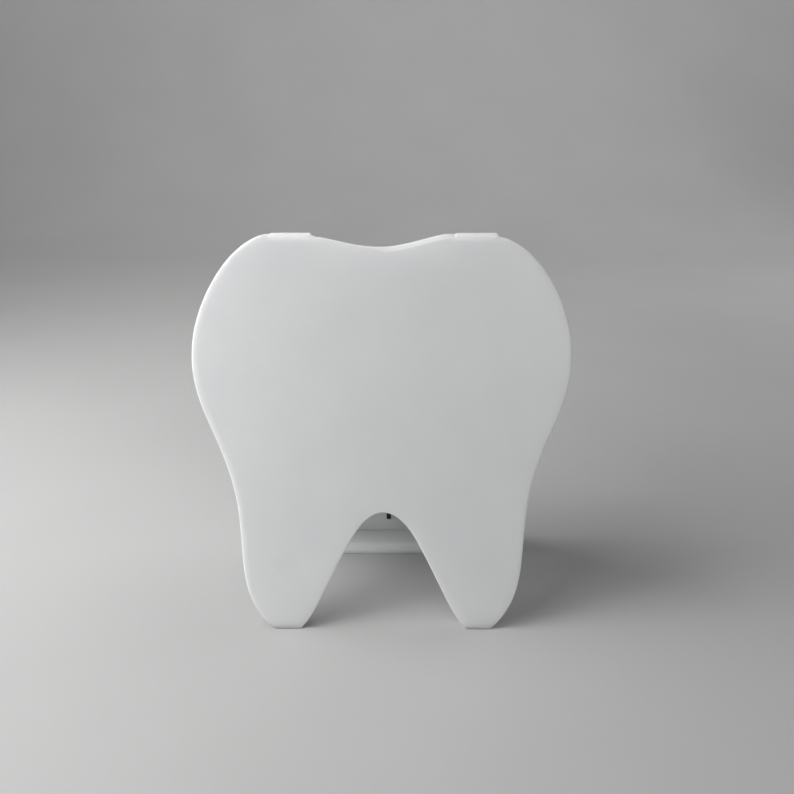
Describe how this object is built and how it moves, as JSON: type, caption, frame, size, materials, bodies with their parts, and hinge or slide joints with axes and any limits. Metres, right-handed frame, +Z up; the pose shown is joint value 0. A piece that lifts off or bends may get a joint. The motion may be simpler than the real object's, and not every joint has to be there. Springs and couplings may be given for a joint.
{
  "type": "baby tooth box",
  "caption": "Upright keepsake box for milk teeth: a shallow opal acrylic tray with a grid of cells, and a tooth-shaped lid hinged at the top that stands open on its two roots.",
  "frame": {"origin": "on the floor, in the middle of the object's width and depth, at rest with the lid standing open", "axes": "+Z up, +Y from the lid towards the back of the tray, X along the hinge"},
  "size_m": [0.1435, 0.0722, 0.1401],
  "materials": {
    "opal_acrylic": "polished opal acrylic sheet",
    "sheet_acrylic": "satin opal acrylic sheet",
    "black_inlay": "satin black",
    "nickel": "nickel plated",
    "steel": "brushed",
    "pin_steel": "turned and polished",
    "soft_pad": "milky soft pad"
  },
  "bodies": {
    "tray": {"back_panel": "opal_acrylic", "left_wall": "opal_acrylic", "right_wall": "opal_acrylic", "bottom_wall": "opal_acrylic", "top_wall": "opal_acrylic", "bin_shelf": "sheet_acrylic", "shelf_lower": "sheet_acrylic", "shelf_middle": "sheet_acrylic", "shelf_upper": "sheet_acrylic", "divider_1": "sheet_acrylic", "divider_2": "sheet_acrylic", "divider_3": "sheet_acrylic", "divider_4": "sheet_acrylic", "black_strip": "black_inlay", "magnet_block_left": "sheet_acrylic", "magnet_block_right": "sheet_acrylic", "tray_magnets": "nickel", "hinge_bracket_left": "steel", "hinge_bracket_right": "steel", "hinge_pin_left": "pin_steel", "hinge_pin_right": "pin_steel", "hinge_screws": "pin_steel", "rear_bumpers": "soft_pad"},
    "lid": {"lid_panel": "opal_acrylic", "lid_magnets": "nickel"}
  },
  "joints": [
    {"name": "lid_hinge", "type": "hinge", "parent": "tray", "child": "lid", "pos_m": [0.00077, 0.02512, 0.13387], "axis": [-1, 0, 0], "range_deg": [-20.3, 159]}
  ]
}
